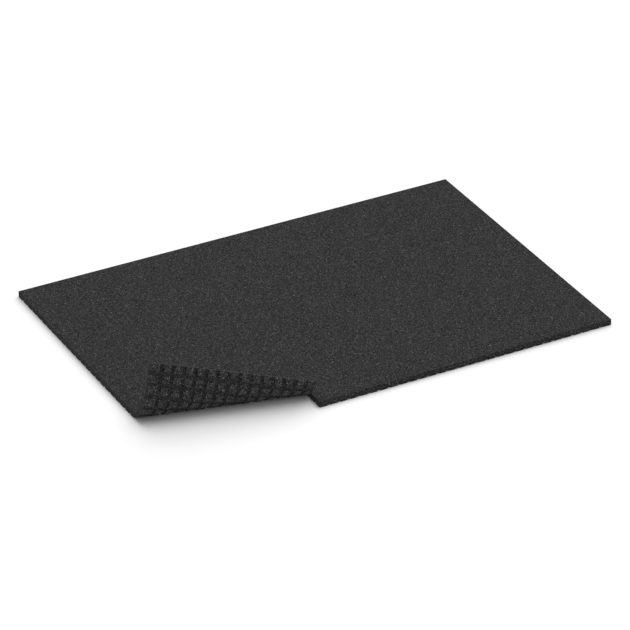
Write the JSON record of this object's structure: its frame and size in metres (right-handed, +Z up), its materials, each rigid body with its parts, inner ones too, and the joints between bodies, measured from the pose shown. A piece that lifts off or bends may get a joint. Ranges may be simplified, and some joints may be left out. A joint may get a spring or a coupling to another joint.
{
  "type": "rubber stall mat",
  "caption": "Flat rectangular sheet of bound crumb rubber with a grid of square blocks underneath; a corner, freed by a short slit, stands curled up and shows them.",
  "frame": {"origin": "middle of the floor area that the mat covers, on the floor", "axes": "+X along the long edges to the right, +Y along the short edges to the back, +Z up; the curled corner is at -X, -Y"},
  "size_m": [1.5008, 1, 0.1901],
  "materials": {
    "crumb_rubber": "matt, granular"
  },
  "bodies": {
    "root": {"stall_mat": "crumb_rubber"}
  },
  "joints": []
}
